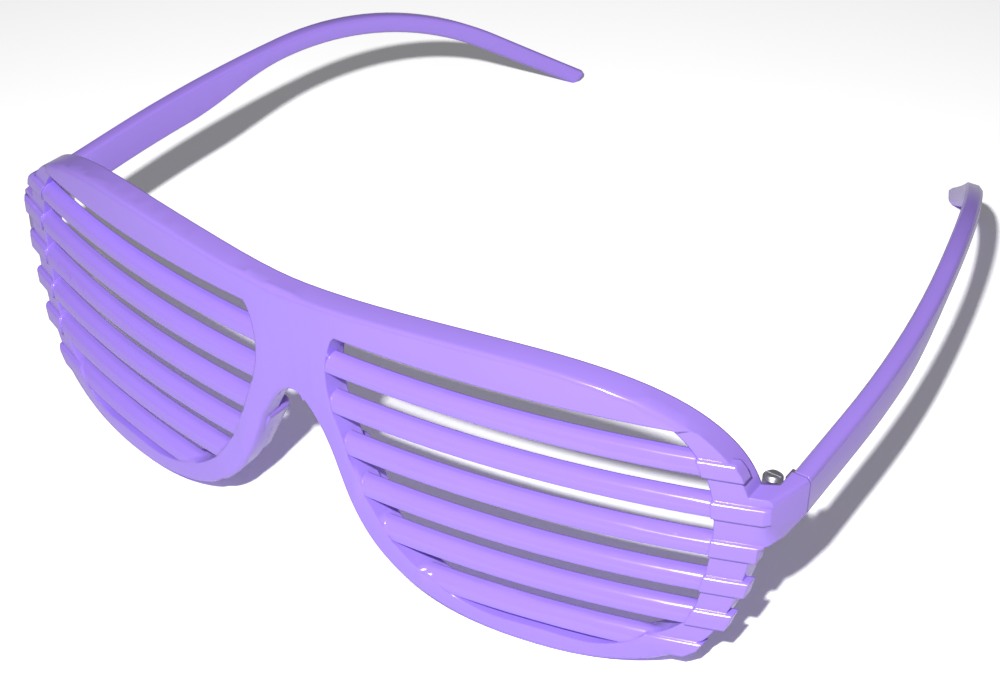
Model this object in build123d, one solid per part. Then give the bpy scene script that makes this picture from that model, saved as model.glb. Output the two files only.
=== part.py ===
from build123d import *
import os
from math import asin, cos, degrees, radians, sin, sqrt

os.makedirs("parts", exist_ok=True)

# Front moulding, measured on its own upright plane: x across, z up, y back
half_width = 70.6           # widest half of the lens rims, without the lugs
front_height = 51.3         # lens bottom to the highest point of the brow
front_radius = 185.0        # plan curve of the front face
frame_depth = 4.4           # front face to back face
lean_angle = 4.2            # how far the front leans back from square to the arms
edge_bevel = 0.7            # bevel of the front edge of the outline
overrun = 3.0               # how far cutting shapes run past what they cut

# Slats across each lens, like the boards of a shutter
brow_depth = 5.5            # top of the front to the brow's lower edge, the top of the first gap
slat_pitch = 6.83
bottom_rim = 3.6            # least height of the rim under the last gap
slat_height = 2.45
slat_depth = 2.5            # front lip to back face
slat_top_depth = 1.6        # front lip to where the sloping face meets the top
slat_lip_height = 0.6       # upright edge at the foot of the sloping face
slat_setback = 0.15         # lip behind the smooth rim face
slat_bulge = 0.3            # how far the sloping face swells out of straight
slat_bevel = 0.2            # bevel along the foot of the lip
slat_root = 1.3             # how far a slat runs into the rim
last_gap = 1.15             # height of the gap between the last slat and the bottom rim
rim_step = 0.7              # depth of the steps that run on over the outer rim and lug
rib_lip = 1.5               # upright part of each rib between two steps
rib_reach = 1.1             # how far a rib's end stands out beyond the side of the rim
rib_depth = 2.0             # front to back of a rib's end
rib_root = 1.5              # how far a rib's end runs into the rim
step_entry = 1.6            # how far the step cuts reach into the open window

# Outline of the front: x as shares of half_width, z as shares of front_height
brow_shares = [(0, 0.968), (0.25, 0.987), (0.48, 1.0), (0.70, 0.979), (0.865, 0.897), (0.963, 0.760)]
side_shares = [(1.0, 0.540), (0.984, 0.360)]
bottom_shares = [(0.915, 0.135), (0.76, 0.022), (0.555, 0.0), (0.355, 0.045), (0.200, 0.182), (0.125, 0.360)]
arch_shares = [(0.079, 0.520), (0, 0.632)]

# Window of one lens, from its nose end down, along the bottom and up the outer side
window_nose_shares = [(0.097, 0.790), (0.098, 0.690), (0.122, 0.575), (0.155, 0.455),
                      (0.200, 0.325), (0.265, 0.205), (0.360, 0.118)]
window_outer_shares = [(0.822, 0.140), (0.892, 0.225), (0.915, 0.350), (0.926, 0.490),
                       (0.924, 0.630), (0.897, 0.770)]
window_top_shares = (0.122, 0.822)      # nose end and outer end of its straight top
window_bottom_shares = (0.480, 0.600, 0.715)

# Nose pads moulded on the back of the rims
pad_length = 13.0
pad_width = 2.6
pad_reach = 3.0             # how far a pad stands behind the back face
pad_centre_x = 10.4
pad_centre_z = 18.5
pad_angle = 64.0
pad_bevel = 0.7

# Arms
arm_spread = 4.0            # side of the rims to the outer face of an arm
arm_thickness = 3.0
arm_seam_y = 23.2           # where the arm butts on the lug
arm_root_height = 6.7
arm_root_rise = 0.21        # lower edge of the second slat to the middle of the seam
seam_gap = 0.1
arm_straight = 15.5         # seam to where the arm starts to bend in
arm_bend_radius = 225.0     # bend inwards, seen from above
arm_reach = 125.0           # seam to tip, straight back
arm_level = 56.65           # level stretch of the top edge
arm_drop_radius = 78.0      # bend down to the ear, on the top edge
arm_drop_angle = 38.5
arm_waist_start = 32.0      # where the lower edge starts to rise
arm_slim_height = 3.7
arm_tip_height = 3.2
arm_tip_round = 1.3
arm_bevel = 0.6

# Lugs that carry the hinges
lug_reach = 1.9             # side of the rims to the outer corner of a lug on the front face
lug_lead = 0.1              # how far its outline starts ahead of that face, which trims it
lug_front_rise = 3.35       # middle of the seam to its top on the front face
lug_front_height = 8.5
lug_root = 4.6              # how far a lug starts inside the side of the rims
lug_heel = 2.1              # side of the rims to where its inner face leaves their back
lug_heel_rise = 1.9         # inner face's straight start behind that point
lug_taper_start = 18.9      # how far back the lug keeps its front height
lug_bevel = 0.6

# Hinges: two knuckles on the lug leaf, one on the arm leaf
hinge_inset = 2.1           # inner face of the arm to the hinge line
hinge_y = 21.6
barrel_radius = 1.5
barrel_height = 4.9
middle_share = 0.36         # height of the arm's knuckle as a share of the barrel
knuckle_gap = 0.06
leaf_thickness = 0.9
leaf_length = 4.2           # hinge line to the end of a leaf
leaf_height = 4.0
leaf_corner = 0.5
pocket_gap = 0.05           # around a leaf that is let into the lug
leaf_clearance = 1.5        # hinge line to where the full leaf starts
ear_gap = 0.1               # between a knuckle's ear and the plastic beside it
tang_height = 2.4           # fin on the back of a leaf that holds it in the plastic
tang_thickness = 0.8
tang_depth = 1.2
tang_end = 1.1              # middle of the tang to the end of the leaf
tang_gap = 0.05

# Hinge screws
screw_radius = 0.65
bore_gap = 0.05
screw_head_radius = 1.2
screw_head_height = 0.5
screw_head_bevel = 0.25
screw_slot_width = 0.35
screw_slot_depth = 0.25
screw_tail = 0.25           # screw end below the lowest knuckle

plan_axis = Axis((0, front_radius, 0), (0, 0, 1))
arm_outer_x = half_width + arm_spread
arm_inner_x = arm_outer_x - arm_thickness
lug_front_x = half_width + lug_reach
lug_inner_x = half_width - lug_root
lug_heel_x = half_width - lug_heel
hinge_x = arm_inner_x - hinge_inset
first_lip = front_height - brow_depth
slat_count = int((first_lip - last_gap - bottom_rim) / slat_pitch)
lips = [first_lip - slat_pitch * i for i in range(slat_count + 1)]
arm_root_middle = lips[2] + arm_root_rise


def place(shares, side=1):
    """Turn shares of the front's size into points on its upright plane."""
    return [Vector(side * x * half_width, 0, z * front_height) for x, z in shares]


def face_y(x):
    """How far back the front face lies at x."""
    return front_radius - sqrt(front_radius ** 2 - x ** 2)


def wrap(profile):
    """Revolve a profile of the y-z plane about the plan centre, over the whole front."""
    half_angle = degrees(asin((arm_outer_x + overrun) / front_radius))
    return revolve(profile.rotate(plan_axis, -half_angle), plan_axis, 2 * half_angle)


def band(front, back, low, high):
    """A rectangle of the y-z plane."""
    corners = [(0, front, low), (0, back, low), (0, back, high), (0, front, high)]
    return make_face(Polyline(*corners, close=True))


def push_through(face):
    """Extrude an upright face through the whole depth of the front."""
    depth = face_y(lug_front_x) + frame_depth + pad_reach + 2 * overrun
    return Pos(0, -overrun, 0) * extrude(face, depth, dir=(0, 1, 0))


def outline_face(widening=0):
    """The contour of the whole front, one closed curve with the nose arch."""
    stretch = (half_width + widening) / half_width
    right = [Vector(stretch * p.X, 0, p.Z)
             for p in place(brow_shares + side_shares + bottom_shares + arch_shares)]
    left = [Vector(-p.X, 0, p.Z) for p in right[-2:0:-1]]
    return make_face(Spline(right + left, periodic=True))


def window_face(side):
    """The opening of one lens, with a straight top along the brow's lower edge."""
    low = lips[-1] - last_gap
    start = Vector(side * window_top_shares[0] * half_width, 0, first_lip)
    end = Vector(side * window_top_shares[1] * half_width, 0, first_lip)
    bottom = [Vector(side * x * half_width, 0, low) for x in window_bottom_shares]
    points = [start] + place(window_nose_shares, side) + bottom
    points += place(window_outer_shares, side) + [end]
    return make_face([Spline(points), Line(end, start)])


def slat_profile(lip):
    """Cross-section of a slat: upright lip, swelling slope, flat top and back."""
    shoulder = lip + slat_lip_height
    top = lip + slat_height
    middle_y = (slat_setback + slat_top_depth) / 2 - slat_bulge
    middle_z = (shoulder + top) / 2 + slat_bulge
    foot = (0, slat_setback + slat_bevel, lip)
    toe = (0, slat_setback, lip + slat_bevel)
    knee = (0, slat_setback, shoulder)
    crest = (0, slat_top_depth, top)
    slope = ThreePointArc(knee, (0, middle_y, middle_z), crest)
    rest = Polyline(crest, (0, slat_depth, top), (0, slat_depth, lip), foot, toe, knee)
    return make_face([slope] + rest.edges())


def step_profile(high, low):
    """What one step takes off the front of the outer rim, down to the rounded top of the rib below."""
    crest = low + rib_lip + rim_step
    middle = (0, rim_step * (1 - sin(radians(45))), low + rib_lip + rim_step * sin(radians(45)))
    round_top = ThreePointArc((0, 0, low + rib_lip), middle, (0, rim_step, crest))
    rest = Polyline((0, rim_step, crest), (0, rim_step, high), (0, -overrun, high),
                    (0, -overrun, low + rib_lip), (0, 0, low + rib_lip))
    return make_face([round_top] + rest.edges())


def rib_ends(lip):
    """Ends of the ribs at one height, standing out from both sides of the front."""
    slab = wrap(band(0, rib_depth, lip, lip + rib_lip + rim_step))
    return (slab & push_through(outline_face(rib_reach))) - push_through(outline_face(-rib_root))


def step_zone(side):
    """The outer rim and lug, where the steps run on past the windows."""
    inner = [Vector(side * window_bottom_shares[-1] * half_width, 0, lips[-1])]
    inner += place(window_outer_shares, side)
    inner += [Vector(side * window_top_shares[1] * half_width, 0, first_lip)]
    entry = [p - Vector(side * step_entry, 0, 0) for p in inner]
    reach = side * (lug_front_x + overrun)
    corners = [(reach, 0, entry[-1].Z), (reach, 0, entry[0].Z), entry[0]]
    return push_through(make_face([Spline(entry)] + Polyline(entry[-1], *corners).edges()))


def slat_span(side, lip):
    """A block that spans the window at one slat and ends inside the rims."""
    strip = make_face(Polyline((0, 0, lip), (side * half_width, 0, lip),
                               (side * half_width, 0, lip + slat_height),
                               (0, 0, lip + slat_height), close=True))
    crossing = (window_face(side) & strip).bounding_box()
    width = crossing.size.X + 2 * slat_root
    depth = 2 * face_y(lug_front_x) + 2 * frame_depth
    centre = Pos(crossing.center().X, 0, lip + slat_height / 2)
    return centre * Box(width, depth, slat_height + 2 * overrun)


def lug(side):
    """Side lug, tapering from the front face to the seam with its arm."""
    seam = arm_seam_y - seam_gap
    heel_y = face_y(lug_heel_x) + frame_depth
    plan = [(lug_inner_x, face_y(lug_inner_x)), (lug_front_x, face_y(lug_front_x) - lug_lead),
            (arm_outer_x, seam), (arm_inner_x, seam), (arm_inner_x, heel_y + lug_heel_rise),
            (lug_heel_x, heel_y)]
    low = arm_root_middle - arm_root_height / 2
    high = arm_root_middle + arm_root_height / 2
    front_high = arm_root_middle + lug_front_rise
    front_low = front_high - lug_front_height
    height = [(0, front_low), (lug_taper_start, front_low), (seam, low),
              (seam, high), (lug_taper_start, front_high), (0, front_high)]
    plan_face = make_face(Polyline([(x, y, 0) for x, y in plan], close=True))
    height_face = make_face(Polyline([(lug_inner_x, y, z) for y, z in height], close=True))
    solid = extrude(plan_face, front_height, dir=(0, 0, 1))
    solid &= extrude(height_face, arm_outer_x, dir=(1, 0, 0))
    solid &= Pos(0, front_radius, front_height / 2) * Cylinder(front_radius, front_height)
    outer = solid.faces().sort_by(Axis.X)[-1]
    solid = chamfer(outer.edges().sort_by(Axis.Y)[:-1], lug_bevel)
    return solid if side == 1 else mirror(solid, Plane.YZ)


def leaf_pocket():
    """Recess in the right lug that the hinge leaf is let into."""
    length = leaf_length + pocket_gap
    depth = arm_inner_x - lug_heel_x
    centre = Pos(arm_inner_x - depth / 2, hinge_y - length / 2, arm_root_middle)
    return centre * Box(depth, length, leaf_height + 2 * pocket_gap)


def nose_pad(side):
    """Pad on the back of the rim beside the nose."""
    back = face_y(pad_centre_x) + frame_depth
    shape = SlotOverall(pad_length, pad_width, rotation=-side * pad_angle)
    start = frame_depth / 2
    pad = extrude(Plane.XZ * shape, back + pad_reach - start, dir=(0, 1, 0))
    pad = chamfer(pad.faces().sort_by(Axis.Y)[-1].edges(), pad_bevel)
    return Pos(side * pad_centre_x, start, pad_centre_z) * pad


def tang(side_y, gap=0):
    """Fin that holds a leaf in the plastic, or its slot when it has a gap; side_y is 1 on the arm."""
    depth = leaf_thickness / 2 + tang_depth + gap
    centre = Pos(arm_inner_x - leaf_thickness / 2 + depth / 2,
                 hinge_y + side_y * (leaf_length - tang_end), arm_root_middle)
    return centre * Box(depth, tang_thickness + 2 * gap, tang_height + 2 * gap)


def front_face_of(solid):
    """The smooth front face, the curved one of the largest radius."""
    return solid.faces().filter_by(GeomType.CYLINDER).sort_by(lambda face: face.radius)[-1]


def front_frame():
    """Brow, rims, bridge, slats, nose pads and lugs, one moulding."""
    solid = wrap(band(0, frame_depth, -overrun, front_height + overrun))
    solid &= push_through(outline_face())
    solid = chamfer(front_face_of(solid).edges(), edge_bevel)
    for lip in lips[1:]:
        solid += rib_ends(lip)
    solid -= [push_through(window_face(side)) for side in (1, -1)]
    solid += [lug(1), lug(-1), nose_pad(1), nose_pad(-1)]
    holes = [leaf_pocket(), tang(-1, tang_gap)]
    holes += [mirror(hole, Plane.YZ) for hole in holes]
    zones = [step_zone(side) for side in (1, -1)]
    steps = [wrap(step_profile(high, low)) & zone for high, low in zip(lips, lips[1:]) for zone in zones]
    solid -= steps + holes
    return solid + [wrap(slat_profile(lip)) & slat_span(side, lip) for lip in lips[1:] for side in (1, -1)]


def arm():
    """Right arm, straight at the hinge, bent in and down to the ear."""
    sweep = degrees(asin((arm_reach + overrun - arm_straight) / arm_bend_radius))
    centre = (arm_outer_x - arm_bend_radius, arm_straight)
    inner_radius = arm_bend_radius - arm_thickness
    outer = CenterArc(centre, arm_bend_radius, 0, sweep)
    inner = CenterArc(centre, inner_radius, 0, sweep)
    root = Polyline(inner @ 0, (arm_inner_x, -overrun), (arm_outer_x, -overrun), outer @ 0)
    plan = make_face([outer, inner, Line(outer @ 1, inner @ 1), root])
    half = arm_root_height / 2
    drop = arm_drop_angle
    slim_radius = arm_drop_radius - arm_slim_height
    level = Line((-overrun, half), (arm_level, half))
    bend = CenterArc((arm_level, half - arm_drop_radius), arm_drop_radius, 90, -drop)
    under = CenterArc((arm_level, half - arm_drop_radius), slim_radius, 90, -drop)
    rest = (arm_reach - (bend @ 1).X) / cos(radians(drop))
    top = Line(bend @ 1, bend @ 1 + (bend % 1) * rest)
    heel = top @ 1 + Vector(-sin(radians(drop)), -cos(radians(drop))) * arm_tip_height
    waist = Spline((arm_waist_start, -half), under @ 0, tangents=[(1, 0), (1, 0)])
    floor = Polyline(heel, under @ 1)
    lower = Line((-overrun, -half), (arm_waist_start, -half))
    side_face = make_face([level, bend, top, Line(top @ 1, heel), floor, under, waist, lower,
                           Line((-overrun, -half), (-overrun, half))])
    tip = side_face.vertices().sort_by(Axis.X)[-1:] + side_face.vertices().sort_by(Axis.Y)[:1]
    side_face = fillet(tip, arm_tip_round)
    solid = extrude(plan, front_height, dir=(0, 0, 1), both=True)
    solid &= extrude(Plane.YZ * side_face, arm_outer_x + overrun, dir=(1, 0, 0))
    root_edges = solid.faces().sort_by(Axis.Y)[0].edges()
    return chamfer([edge for edge in solid.edges() if edge not in root_edges], arm_bevel)


def hang_arm(solid):
    """Set an arm level behind its lug and cut its end parallel to the seam."""
    solid = Pos(0, arm_seam_y, arm_root_middle) * Rot(X=lean_angle) * solid
    reach = 2 * overrun
    block = Box(4 * arm_thickness + reach, reach, arm_root_height + 4 * overrun)
    solid -= Pos(arm_outer_x, arm_seam_y - reach / 2, arm_root_middle) * block
    return solid - tang(1, tang_gap)


def knuckle_spans(middle):
    """Low and high ends of the knuckles of one leaf."""
    low = arm_root_middle - barrel_height / 2
    high = arm_root_middle + barrel_height / 2
    half = middle_share * barrel_height / 2
    if middle:
        return [(arm_root_middle - half, arm_root_middle + half)]
    return [(low, arm_root_middle - half - knuckle_gap), (arm_root_middle + half + knuckle_gap, high)]


def leaf(side_y):
    """Hinge leaf with its knuckles and tang; side_y is 1 on the arm and -1 on the lug."""
    start, end = sorted((hinge_y + side_y * leaf_clearance, hinge_y + side_y * leaf_length))
    plate = Pos(arm_inner_x - leaf_thickness / 2, (start + end) / 2, arm_root_middle)
    plate *= Box(leaf_thickness, end - start, leaf_height)
    far = plate.edges().filter_by(Axis.X).sort_by(lambda edge: side_y * edge.center().Y)[-2:]
    solid = chamfer(far, leaf_corner)
    ear_width = leaf_thickness - ear_gap
    ear_length = leaf_clearance + leaf_corner
    bore = Pos(hinge_x, hinge_y, arm_root_middle) * Cylinder(screw_radius + bore_gap, 2 * barrel_height)
    for low, high in knuckle_spans(side_y == 1):
        middle = (low + high) / 2
        ear = Pos(arm_inner_x - leaf_thickness + ear_width / 2, hinge_y + side_y * ear_length / 2, middle)
        solid += ear * Box(ear_width, ear_length, high - low)
        solid += Pos(hinge_x, hinge_y, middle) * Cylinder(barrel_radius, high - low)
    return solid + tang(side_y) - bore


def screw():
    """Hinge screw, slotted head on the upper knuckle."""
    top = arm_root_middle + barrel_height / 2
    length = barrel_height + screw_tail
    shank = Pos(hinge_x, hinge_y, top - length / 2) * Cylinder(screw_radius, length)
    head = Pos(hinge_x, hinge_y, top + screw_head_height / 2) * Cylinder(screw_head_radius, screw_head_height)
    head = chamfer(head.edges().filter_by(GeomType.CIRCLE).sort_by(Axis.Z)[-1], screw_head_bevel)
    slot = Box(3 * screw_head_radius, screw_slot_width, 2 * screw_slot_depth)
    return head + shank - Pos(hinge_x, hinge_y, top + screw_head_height) * slot


def both_sides(name, solid):
    """The right-hand piece and its mirror image."""
    return {"right_" + name: solid, "left_" + name: mirror(solid, Plane.YZ)}


pieces = {"front_frame": front_frame()}
pieces |= both_sides("temple", hang_arm(arm()))
pieces |= both_sides("lug_hinge_leaf", leaf(-1))
pieces |= both_sides("temple_hinge_leaf", leaf(1))
pieces |= both_sides("hinge_screw", screw())

# Lean the front back, then stand everything on the table with the middle at the origin
leaning = {name: Rot(X=-lean_angle) * solid for name, solid in pieces.items()}
boxes = [solid.bounding_box() for solid in leaning.values()]
middle_y = (min(box.min.Y for box in boxes) + max(box.max.Y for box in boxes)) / 2
seat = Pos(0, -middle_y, -min(box.min.Z for box in boxes))
for name, solid in leaning.items():
    export_step(seat * solid, f"parts/{name}.step")
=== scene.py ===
from math import cos, hypot, radians, sin

import bmesh
import bpy
from mathutils import Matrix, Vector


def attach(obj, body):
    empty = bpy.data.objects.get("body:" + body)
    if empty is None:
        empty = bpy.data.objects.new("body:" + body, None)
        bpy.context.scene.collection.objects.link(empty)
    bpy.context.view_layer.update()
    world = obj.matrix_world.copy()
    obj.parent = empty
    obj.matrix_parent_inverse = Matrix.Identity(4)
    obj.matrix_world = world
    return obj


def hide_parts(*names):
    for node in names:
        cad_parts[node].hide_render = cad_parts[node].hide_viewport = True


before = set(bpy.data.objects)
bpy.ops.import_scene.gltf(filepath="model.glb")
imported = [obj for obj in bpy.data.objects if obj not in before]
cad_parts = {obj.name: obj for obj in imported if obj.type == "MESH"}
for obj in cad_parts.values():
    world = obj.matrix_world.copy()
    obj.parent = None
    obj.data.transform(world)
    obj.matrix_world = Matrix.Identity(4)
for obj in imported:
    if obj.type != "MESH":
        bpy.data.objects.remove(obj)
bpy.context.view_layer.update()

MM = 0.001

# The front's own origin, low on its centre line, which camera, lamp and slats are placed from
FOOT = Vector((0, -75.638, 0.785)) * MM

# Camera, solved from points on the slats, rims and arms
CAMERA_YAW = 36.11          # degrees to the right of straight in front
CAMERA_PITCH = 38.18        # degrees above the table
CAMERA_ROLL = -2.115        # degrees
CAMERA_AIM = 32.29 * MM     # sideways place, along the picture's width
CAMERA_RISE = 33.90 * MM    # place along the picture's height
CAMERA_DISTANCE = 298.86 * MM
CAMERA_NEAR = 10 * MM       # nothing nearer to the camera is seen
FOCAL_SHARE = 1.8748        # focal length as a share of the picture's width
SENSOR = 36.0               # its width in millimetres
SHIFT = (-0.00405, 0.00279)     # the picture's middle off the lens's, as shares of its width

# The front's own plane and its slats, as the solid has them
FRONT_LEAN = 4.2            # degrees that the front leans back
FRONT_RADIUS = 185 * MM     # plan curve of the front face
FRAME_DEPTH = 4.4 * MM      # front face to back face
FIRST_LIP = 45.8 * MM       # height of the brow's lower edge
SLAT_PITCH = 6.83 * MM
SLAT_HEIGHT = 2.45 * MM
SLAT_DEPTH = 2.5 * MM       # front face to a slat's back
SLAT_LIP = 0.6 * MM         # upright edge at a slat's foot, which its slope rises from
SLAT_BEVEL = 0.2 * MM       # bevel along that foot

# How far the upper edge of each gap comes down, from the brow's to the fifth slat's
LIP_DROPS = [c * MM for c in (0.35, 0.45, 0.55, 0.6, 0.5, 0.4)]
# Share that the slopes of the two lowest slats are taller by
SLAT_RISES = {5: 0.2, 6: 0.35}
LEVEL = 0.02 * MM           # how near a point is to a level that it lies on

# Faces of the mouldings
WELD = 0.002 * MM           # how near points are that become one
SMOOTH_ANGLE = 62           # degrees, above which an edge between faces stays crisp

# Main lamp, a little above and left of the camera, and the soft light of the room
LAMP_PLACE = Vector((125, -178, 277)) * MM
LAMP_TARGET = Vector((0, 35, 20)) * MM
LAMP_WIDTH = 12 * MM
LAMP_POWER = 1              # watts at a strength of 1
LAMP_STRENGTH = 3.65
ROOM_STRENGTH = 0.14

# Table
TABLE_SIZE = 3.0            # metres
TABLE_BOUNCE = 0.85         # how pale the table is to the object
TABLE_SEEN = 1.65           # how pale it is to the camera

# Lavender plastic
LAVENDER = (0.42, 0.267, 0.93)
LAVENDER_DEEP = 0.955       # the darker end of its mottling
LAVENDER_PALE = 1.03        # the paler end
MOTTLE_SCALE = 55
GLOSS_SCALE = 320
GLOSS_ROUGHNESS = (0.13, 0.21)
PEEL_SCALE = 900
PEEL_DETAIL = 1
PEEL_STRENGTH = 0.06
PEEL_DEPTH = 0.02 * MM
EDGE_SOFTNESS = 0.40 * MM   # how far the moulding's edges look rounded over
EDGE_SAMPLES = 8
PLASTIC_IOR = 1.5

# Hinge metal
STEEL = (0.72, 0.71, 0.75)
STEEL_DEEP = 0.80           # the darker end of its grain
STEEL_GRAIN_SCALE = 1400
STEEL_ROUGHNESS = (0.38, 0.52)

NOISE_DETAIL = 3            # of the mottling, the gloss and the grain


def camera_axes():
    """The picture's right, up and back directions."""
    yaw, pitch, roll = radians(CAMERA_YAW), radians(CAMERA_PITCH), radians(CAMERA_ROLL)
    back = Vector((sin(yaw) * cos(pitch), -cos(yaw) * cos(pitch), sin(pitch)))
    right = Vector((cos(yaw), sin(yaw), 0))
    up = back.cross(right)
    return cos(roll) * right + sin(roll) * up, cos(roll) * up - sin(roll) * right, back


def make_camera():
    right, up, back = camera_axes()
    data = bpy.data.cameras.new("camera")
    data.sensor_width = SENSOR
    data.lens = SENSOR * FOCAL_SHARE
    data.shift_x, data.shift_y = SHIFT
    data.clip_start = CAMERA_NEAR
    camera = bpy.data.objects.new("camera", data)
    place = FOOT + right * CAMERA_AIM + up * CAMERA_RISE + back * CAMERA_DISTANCE
    turn = Matrix((right, up, back)).transposed().to_4x4()
    camera.matrix_world = Matrix.Translation(place) @ turn
    bpy.context.scene.collection.objects.link(camera)
    bpy.context.scene.camera = camera


def make_lamp():
    """A small lamp, for crisp shadows. Its light falls off gently, so the table is lit evenly."""
    data = bpy.data.lights.new("lamp", "AREA")
    data.shape = "DISK"
    data.size = LAMP_WIDTH
    data.energy = LAMP_POWER
    data.use_nodes = True
    nodes, links = data.node_tree.nodes, data.node_tree.links
    falloff = nodes.new("ShaderNodeLightFalloff")
    falloff.inputs["Strength"].default_value = LAMP_STRENGTH
    links.new(falloff.outputs["Linear"], nodes["Emission"].inputs["Strength"])
    lamp = bpy.data.objects.new("lamp", data)
    lamp.location = FOOT + LAMP_PLACE
    lamp.rotation_euler = (LAMP_PLACE - LAMP_TARGET).to_track_quat("Z", "Y").to_euler()
    bpy.context.scene.collection.objects.link(lamp)


def make_room():
    """A weak white light from all round."""
    world = bpy.data.worlds.new("soft_room")
    bpy.context.scene.world = world
    world.use_nodes = True
    room = world.node_tree.nodes["Background"]
    room.inputs["Color"].default_value = (1, 1, 1, 1)
    room.inputs["Strength"].default_value = ROOM_STRENGTH


def make_table():
    """A pale table that is white to the camera where the lamp reaches it."""
    bpy.ops.mesh.primitive_plane_add(size=TABLE_SIZE, location=(0, 0, 0))
    table = bpy.context.object
    table.name = "table"
    material = bpy.data.materials.new("pale_table")
    material.use_nodes = True
    nodes, links = material.node_tree.nodes, material.node_tree.links
    nodes.remove(nodes["Principled BSDF"])
    path = nodes.new("ShaderNodeLightPath")
    mix = nodes.new("ShaderNodeMixShader")
    links.new(path.outputs["Is Camera Ray"], mix.inputs["Fac"])
    for place, paleness in ((1, TABLE_BOUNCE), (2, TABLE_SEEN)):
        surface = nodes.new("ShaderNodeBsdfDiffuse")
        surface.inputs["Color"].default_value = (paleness, paleness, paleness, 1)
        links.new(surface.outputs["BSDF"], mix.inputs[place])
    links.new(mix.outputs["Shader"], nodes["Material Output"].inputs["Surface"])
    table.data.materials.append(material)


def noise_of(nodes, links, scale, detail=NOISE_DETAIL):
    """Noise that keeps its place on the piece."""
    where = nodes.new("ShaderNodeTexCoord")
    noise = nodes.new("ShaderNodeTexNoise")
    noise.inputs["Scale"].default_value = scale
    noise.inputs["Detail"].default_value = detail
    links.new(where.outputs["Object"], noise.inputs["Vector"])
    return noise.outputs["Fac"]


def colour_between(nodes, links, factor, low, high):
    ramp = nodes.new("ShaderNodeValToRGB")
    ramp.color_ramp.elements[0].color = [*low, 1]
    ramp.color_ramp.elements[1].color = [*high, 1]
    links.new(factor, ramp.inputs["Fac"])
    return ramp.outputs["Color"]


def value_between(nodes, links, factor, low, high):
    spread = nodes.new("ShaderNodeMapRange")
    spread.inputs["To Min"].default_value = low
    spread.inputs["To Max"].default_value = high
    links.new(factor, spread.inputs["Value"])
    return spread.outputs["Result"]


def lavender_plastic():
    """Glossy moulded plastic: faint mottling, uneven gloss, fine orange peel and soft edges."""
    material = bpy.data.materials.new("lavender_plastic")
    material.use_nodes = True
    nodes, links = material.node_tree.nodes, material.node_tree.links
    shader = nodes["Principled BSDF"]
    shader.inputs["IOR"].default_value = PLASTIC_IOR
    mottle = noise_of(nodes, links, MOTTLE_SCALE)
    colour = colour_between(nodes, links, mottle, [c * LAVENDER_DEEP for c in LAVENDER],
                            [c * LAVENDER_PALE for c in LAVENDER])
    links.new(colour, shader.inputs["Base Color"])
    gloss = noise_of(nodes, links, GLOSS_SCALE)
    links.new(value_between(nodes, links, gloss, *GLOSS_ROUGHNESS), shader.inputs["Roughness"])
    edges = nodes.new("ShaderNodeBevel")
    edges.samples = EDGE_SAMPLES
    edges.inputs["Radius"].default_value = EDGE_SOFTNESS
    peel = nodes.new("ShaderNodeBump")
    peel.inputs["Strength"].default_value = PEEL_STRENGTH
    peel.inputs["Distance"].default_value = PEEL_DEPTH
    links.new(noise_of(nodes, links, PEEL_SCALE, PEEL_DETAIL), peel.inputs["Height"])
    links.new(edges.outputs["Normal"], peel.inputs["Normal"])
    links.new(peel.outputs["Normal"], shader.inputs["Normal"])
    return material


def hinge_steel():
    """Plain tumbled steel with a fine grain."""
    material = bpy.data.materials.new("hinge_steel")
    material.use_nodes = True
    nodes, links = material.node_tree.nodes, material.node_tree.links
    shader = nodes["Principled BSDF"]
    shader.inputs["Metallic"].default_value = 1
    grain = noise_of(nodes, links, STEEL_GRAIN_SCALE)
    colour = colour_between(nodes, links, grain, [c * STEEL_DEEP for c in STEEL], STEEL)
    links.new(colour, shader.inputs["Base Color"])
    links.new(value_between(nodes, links, grain, *STEEL_ROUGHNESS), shader.inputs["Roughness"])
    return material


def front_plane():
    """From the front's own plane, x across, y back and z up, to the frame that everything is in."""
    return Matrix.Translation(FOOT) @ Matrix.Rotation(radians(-FRONT_LEAN), 4, "X")


def lip_height(i):
    """Height of the brow's lower edge, 0, or of a slat's foot, 1 to 6, in the front's own plane."""
    return FIRST_LIP - SLAT_PITCH * i


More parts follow.
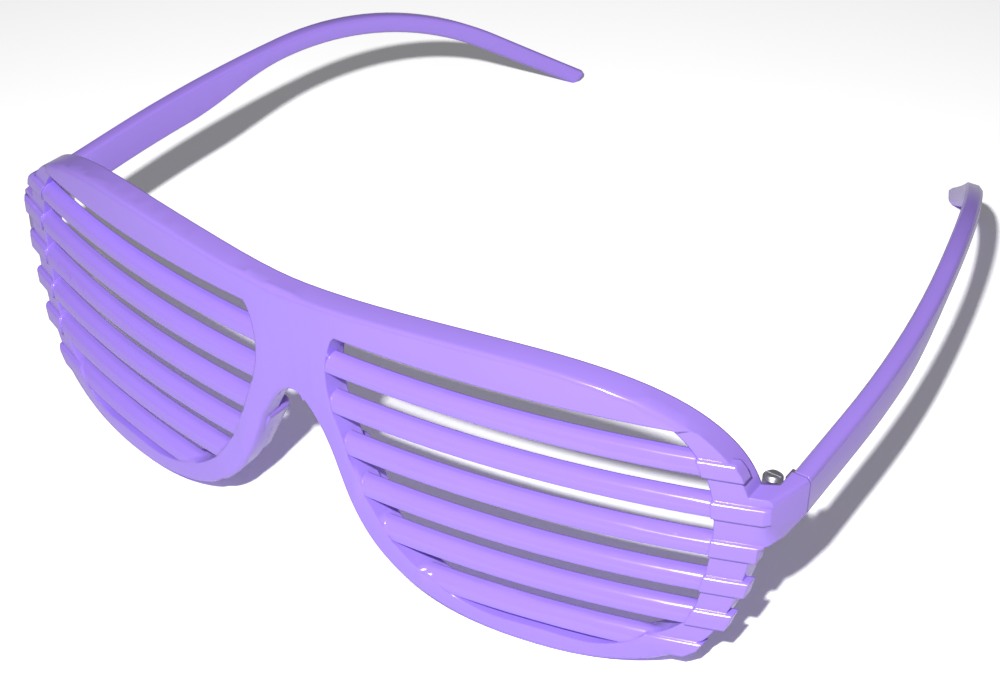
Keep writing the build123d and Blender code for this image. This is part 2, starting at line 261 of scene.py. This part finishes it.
def deepen_slats(work):
    """Let the gaps' upper edges hang a little lower and the lowest slats be taller, as moulded."""
    to_plane = front_plane().inverted()
    from_plane = to_plane.inverted()
    for vert in work.verts:
        point = to_plane @ vert.co
        depth = FRONT_RADIUS - hypot(point.x, FRONT_RADIUS - point.y)
        if depth > FRAME_DEPTH + LEVEL:
            continue
        in_slat = depth < SLAT_DEPTH + LEVEL
        for i, drop in enumerate(LIP_DROPS):
            height = point.z - lip_height(i)
            at_foot = abs(height) < LEVEL or (i and abs(height - SLAT_BEVEL) < LEVEL)
            if at_foot and (i == 0 or in_slat):
                point.z -= drop
        for i, rise in SLAT_RISES.items():
            height = point.z - (lip_height(i) + SLAT_LIP)
            if LEVEL < height < SLAT_HEIGHT - SLAT_LIP + LEVEL and LEVEL < depth and in_slat:
                point.z += height * rise
        vert.co = from_plane @ point


def moulding(piece_name, node_name, body, material, shaping=None):
    """A moulding made from its node's mesh, with its faces joined so that its bevels look round."""
    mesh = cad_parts[node_name].data.copy()
    mesh.name = piece_name
    work = bmesh.new()
    work.from_mesh(mesh)
    bmesh.ops.remove_doubles(work, verts=work.verts, dist=WELD)
    if shaping:
        shaping(work)
    for face in work.faces:
        face.smooth = True
    work.to_mesh(mesh)
    work.free()
    if "custom_normal" in mesh.attributes:
        mesh.attributes.remove(mesh.attributes["custom_normal"])
    mesh.set_sharp_from_angle(angle=radians(SMOOTH_ANGLE))
    mesh.materials.clear()
    mesh.materials.append(material)
    piece = bpy.data.objects.new(piece_name, mesh)
    bpy.context.scene.collection.objects.link(piece)
    weights = piece.modifiers.new("broad_faces_lead", "WEIGHTED_NORMAL")
    weights.keep_sharp = True
    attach(piece, body)
    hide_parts(node_name)


def make_mouldings(plastic):
    """The front and both arms, of the same plastic."""
    moulding("front_moulding", "front_frame", "front", plastic, deepen_slats)
    for side in ("right", "left"):
        moulding(side + "_arm_moulding", side + "_temple", side + "_arm", plastic)


def finish_hinges(steel):
    """The leaves and screws keep their own meshes and are given their metal."""
    for name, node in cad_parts.items():
        if "hinge" in name:
            node.data.materials.clear()
            node.data.materials.append(steel)


bpy.context.scene.view_settings.view_transform = "Standard"
make_camera()
make_lamp()
make_room()
make_table()
make_mouldings(lavender_plastic())
finish_hinges(hinge_steel())
